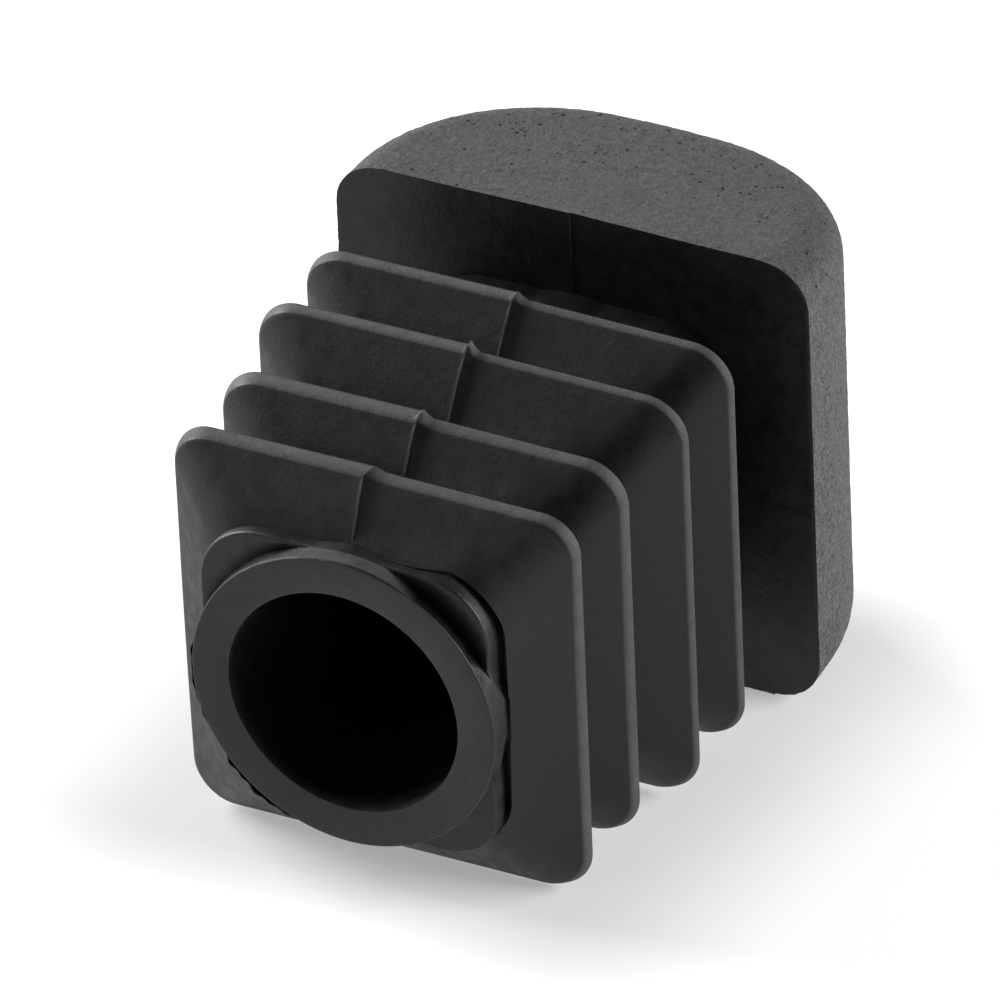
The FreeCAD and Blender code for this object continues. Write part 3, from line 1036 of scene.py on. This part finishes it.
def moulded_cap_tree() -> NodeTree:
    """Build the tree that sets the fins along the core and grains the head.

    Each fin of a collection stands on its own station of a line. The strips are joined to the
    head and mouth, merged into one closed surface, and the grained part is bitten by noise.

    Returns:
        The geometry node tree.
    """
    tree = bpy.data.node_groups.new("moulded_cap", "GeometryNodeTree")
    add_sockets(tree, {
        "Geometry": "Geometry", "Fins": "Collection", "Fin Count": "Int",
        "First Station": "Vector", "Fin Pitch": "Vector", "Merge Distance": "Float",
        "Grain Depth": "Float", "Grain Size": "Float", "Pit Depth": "Float",
        "Pit Spacing": "Float", "Seed": "Float", "Satin": "Material", "Grained": "Material",
    }, {"Geometry": "Geometry"})
    given = node(tree, "NodeGroupInput").outputs
    calc = partial(maths, tree)

    line = node(tree, "GeometryNodeMeshLine", {
        "Count": given["Fin Count"], "Start Location": given["First Station"],
        "Offset": given["Fin Pitch"]}, mode="OFFSET")
    fins = node(tree, "GeometryNodeCollectionInfo", {
        "Collection": given["Fins"], "Separate Children": True, "Reset Children": True})
    stand = node(tree, "GeometryNodeInstanceOnPoints", {
        "Points": line, "Instance": fins, "Pick Instance": True,
        "Instance Index": node(tree, "GeometryNodeInputIndex")})
    joined = node(tree, "GeometryNodeJoinGeometry", {"Geometry": stand})
    fill(joined, {"Geometry": given["Geometry"]})
    real = node(tree, "GeometryNodeRealizeInstances", {"Geometry": joined})
    merged = node(tree, "GeometryNodeMergeByDistance", {
        "Geometry": real, "Distance": given["Merge Distance"]})

    mask = node(tree, "GeometryNodeInputNamedAttribute", {"Name": GRAIN},
                data_type="FLOAT").outputs["Attribute"]
    place = node(tree, "GeometryNodeInputPosition")
    noise = node(tree, "ShaderNodeTexNoise", {
        "Vector": place, "W": given["Seed"], "Detail": 2.0, "Roughness": 0.6,
        "Scale": calc("DIVIDE", 1.0, given["Grain Size"])}, noise_dimensions="4D")
    bite = node(tree, "ShaderNodeMapRange", {"Value": noise, "From Min": 0.3, "From Max": 0.72})
    cells = node(tree, "ShaderNodeTexVoronoi", {
        "Vector": place, "W": given["Seed"],
        "Scale": calc("DIVIDE", 1.0, given["Pit Spacing"])}, voronoi_dimensions="4D")
    pit = smooth_range(tree, cells, (0.06, 1.0), (0.16, 0.0))
    bitten = calc("MULTIPLY", bite, given["Grain Depth"])
    pitted = calc("MULTIPLY_ADD", pit, given["Pit Depth"], bitten)
    inward = calc("MULTIPLY", calc("MULTIPLY", pitted, mask), -1.0)
    push = node(tree, "ShaderNodeVectorMath", {
        0: node(tree, "GeometryNodeInputNormal"), "Scale": inward}, operation="SCALE")
    pushed = node(tree, "GeometryNodeSetPosition", {"Geometry": merged, "Offset": push})

    satin = node(tree, "GeometryNodeSetMaterial", {
        "Geometry": pushed, "Material": given["Satin"]})
    on_face = node(tree, "GeometryNodeFieldOnDomain", {"Value": mask}, data_type="FLOAT",
                   domain="FACE").outputs["Value"]
    grained = node(tree, "GeometryNodeSetMaterial", {
        "Geometry": satin, "Material": given["Grained"],
        "Selection": calc("GREATER_THAN", on_face, 0.999)})
    node(tree, "NodeGroupOutput", {"Geometry": grained})
    return tree


def skin_group() -> NodeTree:
    """Build the shader group for the uneven skin of moulded polyethylene.

    Returns:
        A group that puts out a tone, a height for a bump and a roughness. Fine and cloudy noise
        vary the first two and cloudy noise the roughness; pits are small holes in a share of the
        cells of a cell pattern, dented by the bump and painted dark as shade. Where painted light
        lies, the tone is painted paler as a highlight and the roughness is raised.
    """
    group = bpy.data.node_groups.new("moulded_skin", "ShaderNodeTree")
    numbers = dict.fromkeys((*SKIN_NUMBERS, "Painted Light", "Pit Share"), "Float")
    add_sockets(group, {"Vector": "Vector", **numbers},
                {"Tone": "Float", "Height": "Float", "Roughness": "Float"})
    given = node(group, "NodeGroupInput").outputs
    calc = partial(maths, group)
    fine = node(group, "ShaderNodeTexNoise", {
        "Vector": given["Vector"], "Scale": given["Fine Scale"], "Detail": 3.0,
        "Roughness": 0.65})
    cloud = node(group, "ShaderNodeTexNoise", {
        "Vector": given["Vector"], "Scale": given["Cloud Scale"], "Detail": 2.0})
    cells = node(group, "ShaderNodeTexVoronoi", {
        "Vector": given["Vector"], "Scale": given["Pit Scale"]})
    height = node(group, "ShaderNodeMix", {0: given["Fine Share"], 2: cloud, 3: fine},
                  data_type="FLOAT")

    luck = node(group, "ShaderNodeSeparateColor", {"Color": cells.outputs["Color"]}).outputs
    chosen = calc("LESS_THAN", luck["Red"], given["Pit Share"])
    size = calc("MULTIPLY_ADD", luck["Green"], PIT_SPREAD, PIT_LEAST)
    wide = calc("MULTIPLY", given["Pit Size"], size)
    near = smooth_range(group, cells, (calc("MULTIPLY", wide, 0.5), 1.0), (wide, 0.0))
    pit = calc("MULTIPLY", near, chosen)

    uneven = calc("SUBTRACT", height, 0.5)
    varied = calc("MULTIPLY_ADD", uneven, given["Tone Spread"], 1.0)
    # Painted shade in the pits
    whole = calc("MULTIPLY_ADD", pit, -PIT_PAINTED_SHADE, 1.0)
    shade = calc("MULTIPLY", calc("MAXIMUM", varied, DARKEST), whole)
    # Painted light: the tone moves towards a paler one where highlights are painted
    paler = calc("SUBTRACT", given["Painted Light Tone"], given["Tone"])
    tone = calc("MULTIPLY_ADD", given["Painted Light"], paler, given["Tone"])
    centred = calc("SUBTRACT", cloud, 0.5)
    rough = calc("MULTIPLY_ADD", centred, given["Roughness Spread"], given["Roughness"])
    with_painted_light = calc("MULTIPLY_ADD", given["Painted Light"], PAINTED_LIGHT_ROUGHNESS, rough)
    node(group, "NodeGroupOutput", {
        "Tone": calc("MULTIPLY", shade, tone),
        "Height": calc("MULTIPLY_ADD", pit, -PIT_DEPTH, height),
        "Roughness": calc("MULTIPLY_ADD", pit, PIT_ROUGHNESS, with_painted_light),
    })
    return group


@dataclass(frozen=True)
class Polyethylene:
    """A finish of black polyethylene, with the skin group's numbers under their own names.

    Scales are per metre and the bump's depth is in millimetres. The share of pits grows over
    pit_band, in millimetres of height and distance behind, from pit_share_before of it to all.
    """

    name: str
    tone: float
    roughness: float
    roughness_spread: float
    bump: float
    bump_depth: float
    fine_scale: float
    cloud_scale: float
    fine_share: float
    tone_spread: float
    # The paler tone of the painted highlights
    painted_light_tone: float = 0.06
    pit_share: float = 0.0
    pit_share_before: float = 0.25
    pit_band: Pair = (0.0, 1.0)
    pit_scale: float = 2300.0
    pit_size: float = 0.22
    specular: float = 0.38

    def build(self, skin: NodeTree) -> Material:
        """Make the material.

        Args:
            skin: the shared shader group of moulded unevenness.

        Returns:
            The material.
        """
        material, shader = new_material(self.name)
        tree = material.node_tree
        place = node(tree, "ShaderNodeTexCoord").outputs["Object"]
        apart = node(tree, "ShaderNodeSeparateXYZ", {"Vector": place}).outputs
        first, last = self.pit_band
        pitted = smooth_range(
            tree, maths(tree, "ADD", apart["Y"], apart["Z"]),
            (first * MM, self.pit_share * self.pit_share_before), (last * MM, self.pit_share))
        # The mesh's painted light attribute, for painted highlights
        with_painted_light = node(tree, "ShaderNodeAttribute", attribute_name=PAINTED_LIGHT)
        numbers = {name: getattr(self, name.lower().replace(" ", "_")) for name in SKIN_NUMBERS}
        made = node(tree, "ShaderNodeGroup", {
            "Vector": place, "Painted Light": with_painted_light.outputs["Fac"], "Pit Share": pitted, **numbers,
        }, node_tree=skin).outputs
        bump = node(tree, "ShaderNodeBump", {
            "Strength": self.bump, "Distance": self.bump_depth * MM, "Height": made["Height"]})
        fill(shader, {
            "Specular IOR Level": self.specular, "Base Color": made["Tone"],
            "Roughness": made["Roughness"], "Normal": bump})
        return material


# The cap


@dataclass
class EndCap:
    """The whole moulding, built as one closed surface, in millimetres."""

    core: Core = field(default_factory=Core)
    mouth: Mouth = field(default_factory=Mouth)
    head: Head = field(default_factory=Head)
    parting: Parting = field(default_factory=Parting)
    grain: Grain = field(default_factory=Grain)
    first_station: float = 20.55
    pitch: float = 4.98
    skirt: float = 0.05
    satin: Polyethylene = Polyethylene(
        "satin_polyethylene", tone=0.011, roughness=0.46, roughness_spread=0.4, bump=0.7,
        bump_depth=0.055, fine_scale=5500.0, cloud_scale=1200.0, fine_share=0.5, tone_spread=1.8)
    grained: Polyethylene = Polyethylene(
        "grained_polyethylene", tone=0.055, roughness=0.62, roughness_spread=0.1, bump=1.0,
        bump_depth=0.2, fine_scale=7000.0, cloud_scale=2600.0, fine_share=0.7, tone_spread=4.0,
        painted_light_tone=0.1, pit_share=0.95, pit_band=(33.0, 37.0), specular=0.25)

    def fins(self) -> list[Fin]:
        """Size the fins.

        Returns:
            The four fins, from the open end to the head.
        """
        first_reach = self.mouth.foot_height(self.core, mould_columns()) - self.first_station
        return [
            Fin("fin_1", half=10.64, rim_round=0.7, reach=first_reach, corner_above=1.9,
                root_drop=0.35, step_up=0.2, left_bend=0.28, seam_lean=0.35, nib=0.0),
            Fin("fin_2", half=10.66, rim_round=0.7, reach=self.pitch, nib=0.1),
            Fin("fin_3", half=11.33, rim_round=0.5, reach=self.pitch, back=-0.05, nib=0.25),
            Fin("fin_4", half=11.3, rim_round=0.5, reach=self.pitch, nib=0.05),
        ]

    def body(self, cap_frame: CapFrame) -> Object:
        """Make the head, the mouth and the core between the last fin and the head.

        Args:
            cap_frame: where the cap lies.

        Returns:
            An open surface that the fins' strips close.
        """
        shell, parting = Shell(mould_columns()), self.parting
        self.mouth.build(self.core, shell)
        foot = self.core.radius(shell.angles)
        last_station = self.first_station - 3 * self.pitch
        top, bottom = shell.ring(foot, last_station), shell.ring(foot, 0.0)
        skirt = shell.ring(foot + self.skirt, 0.0)
        shell.chain([top, bottom, skirt])
        before = shell.count
        outline = self.head.build(shell)
        head = np.arange(before, shell.count)
        shell.zip_rings(skirt, outline)
        shell.shape(lambda points: parting.crown(points, parting.plug_draft), np.arange(before))
        shell.shape(lambda points: parting.crown(
            points, parting.head_draft, parting.head_reach), head)

        def split(points: Array) -> Array:
            """Raise the left half of the underside by the mould's step.

            Args:
                points: all points.

            Returns:
                The moved points.
            """
            moved = points.copy()
            seat = (np.abs(points[:, 2]) < 1e-6) & (points[:, 0] < 0)
            moved[seat, 2] += parting.underside_step
            return moved

        shell.shape(split)
        return shell.build(NODE + "_body", cap_frame)

    def build(self, cap_frame: CapFrame) -> Object:
        """Build and dress the cap.

        Args:
            cap_frame: where the cap lies.

        Returns:
            The finished piece, a plain closed mesh.
        """
        skin = skin_group()
        satin, grained = self.satin.build(skin), self.grained.build(skin)
        body = self.body(cap_frame)
        bpy.context.scene.collection.objects.link(body)
        row = bpy.data.collections.new("fins")
        strips = [fin.build(self.core, self.parting, cap_frame) for fin in self.fins()]
        for strip in strips:
            row.objects.link(strip)
            log.info("%s: %d faces", strip.name, len(strip.data.polygons))
        modifier = body.modifiers.new("moulded_cap", "NODES")
        modifier.node_group = moulded_cap_tree()
        names = {item.name: item.identifier for item in modifier.node_group.interface.items_tree
                 if item.in_out == "INPUT"}
        values = {
            "Fins": row,
            "Fin Count": len(strips),
            "First Station": tuple(cap_frame.station(self.first_station)),
            "Fin Pitch": tuple(cap_frame.axis * (-self.pitch * MM)),
            "Merge Distance": MERGE_DISTANCE,
            **self.grain.inputs(),
            "Satin": satin,
            "Grained": grained,
        }
        for name, value in values.items():
            modifier[names[name]] = value
        graph = bpy.context.evaluated_depsgraph_get()
        mesh = bpy.data.meshes.new_from_object(body.evaluated_get(graph), depsgraph=graph)
        mesh.name = "moulded_end_cap"
        for part in (body, *strips):
            bpy.data.objects.remove(part)
        bpy.data.collections.remove(row)
        mesh.polygons.foreach_set("use_smooth", [True] * len(mesh.polygons))
        mesh.set_sharp_from_angle(angle=SHARP_ANGLE)
        cap = bpy.data.objects.new("moulded_end_cap", mesh)
        bpy.context.scene.collection.objects.link(cap)
        return cap


# The studio


@dataclass(frozen=True)
class Softbox:
    """A rectangular lamp that looks at the cap."""

    name: str
    place: tuple[float, float, float]
    width: float
    depth: float
    power: float

    def build(self, target: Vector) -> Object:
        """Create the lamp, turned to a target.

        Args:
            target: the point it looks at, in metres.

        Returns:
            The lamp object.
        """
        data = bpy.data.lights.new(self.name, "AREA")
        data.shape = "RECTANGLE"
        data.size, data.size_y = self.width, self.depth
        data.energy = self.power
        lamp = bpy.data.objects.new(self.name, data)
        place = Vector(self.place)
        turn = (place - target).to_track_quat("Z", "Y").to_matrix().to_4x4()
        lamp.matrix_world = Matrix.Translation(place) @ turn
        bpy.context.scene.collection.objects.link(lamp)
        return lamp


@dataclass(frozen=True)
class Studio:
    """The white table, the soft lamps and the dim room round the cap.

    The table's size is in metres. Its glow for the camera grows from near_glow at the edge of
    the footprint, half its size across and deep, to far_glow at glow_reach, in millimetres, which
    paints shade on the table round the cap.
    """

    table_size: float = 6.0
    table_tone: float = 0.5
    table_glow: float = 0.41
    near_glow: float = 0.35
    far_glow: float = 0.66
    footprint: Pair = (10.0, 16.0)
    glow_reach: float = 12.0
    room: float = 0.02
    lamps: tuple[Softbox, ...] = (
        Softbox("back_softbox", (-0.5, 1.1, 0.45), 1.6, 0.7, 3.5),
        Softbox("left_softbox", (-1.15, 0.15, 0.55), 1.0, 0.8, 34.5),
        Softbox("right_softbox", (1.15, 0.35, 0.55), 1.0, 0.8, 27.0),
        Softbox("near_softbox", (-0.6, -0.95, 0.75), 0.9, 0.8, 1.3),
    )

    def table_material(self) -> Material:
        """Make the table white to the camera and to reflections, but keep its shadows.

        To the camera it is whiter away from the cap, with painted shade round the cap.

        Returns:
            The material.
        """
        material, shader = new_material("white_table")
        tree = material.node_tree
        vector_maths = partial(node, tree, "ShaderNodeVectorMath")
        rays = node(tree, "ShaderNodeLightPath").outputs
        mirrored = maths(tree, "MAXIMUM", rays["Is Glossy Ray"], rays["Is Transmission Ray"])
        steady = maths(tree, "MULTIPLY", mirrored, self.table_glow)
        place = node(tree, "ShaderNodeTexCoord").outputs["Object"]
        edge = (self.footprint[0] * MM, self.footprint[1] * MM, 0.0)
        away = vector_maths({0: place}, operation="ABSOLUTE")
        beyond = vector_maths({0: away, 1: edge}, operation="SUBTRACT")
        outside = vector_maths({0: beyond}, operation="MAXIMUM")
        distance = vector_maths({0: outside}, operation="LENGTH").outputs["Value"]
        # Painted shade: less glow for the camera near the cap, more far from it
        whiter = smooth_range(
            tree, distance, (0.0, self.near_glow), (self.glow_reach * MM, self.far_glow))
        tone = self.table_tone
        fill(shader, {
            "Base Color": (tone, tone, tone, 1.0),
            "Roughness": 1.0,
            "Specular IOR Level": 0.0,
            "Emission Color": (1.0, 1.0, 1.0, 1.0),
            "Emission Strength": maths(tree, "MULTIPLY_ADD", rays["Is Camera Ray"], whiter, steady),
        })
        return material

    def build(self, target: Vector) -> None:
        """Build the table, the world and the lamps.

        Args:
            target: the point the lamps look at, in metres.
        """
        half = self.table_size / 2
        mesh = bpy.data.meshes.new("table")
        corners = [(-half, -half, 0.0), (half, -half, 0.0), (half, half, 0.0), (-half, half, 0.0)]
        mesh.from_pydata(corners, [], [(0, 1, 2, 3)])
        mesh.materials.append(self.table_material())
        table = bpy.data.objects.new("table", mesh)
        bpy.context.scene.collection.objects.link(table)
        for lamp in self.lamps:
            lamp.build(target)
        world = bpy.data.worlds.new("grey_room")
        world.use_nodes = True
        room = world.node_tree.nodes["Background"]
        room.inputs["Color"].default_value = (1.0, 1.0, 1.0, 1.0)
        room.inputs["Strength"].default_value = self.room
        bpy.context.scene.world = world


# The script


def main() -> None:
    """Build the cap, the camera and the studio."""
    logging.basicConfig(level=logging.INFO, format="%(name)s: %(message)s")
    bpy.context.scene.view_settings.view_transform = "Standard"
    cap_frame = CapFrame(frame["record"])
    camera = PhotoCamera().build()
    log.info("camera at %s", [round(value, 3) for value in camera.matrix_world.translation])
    cap = EndCap().build(cap_frame)
    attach(cap, "root")
    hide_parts(NODE)
    triangles = sum(len(face.vertices) - 2 for face in cap.data.polygons)
    log.info("%s: %d triangles", cap.name, triangles)
    studio = Studio()
    studio.build(cap_frame.station(STUDIO_AIM))
    log.info("studio with %d lamps", len(studio.lamps))


if __name__ == "__main__":
    main()
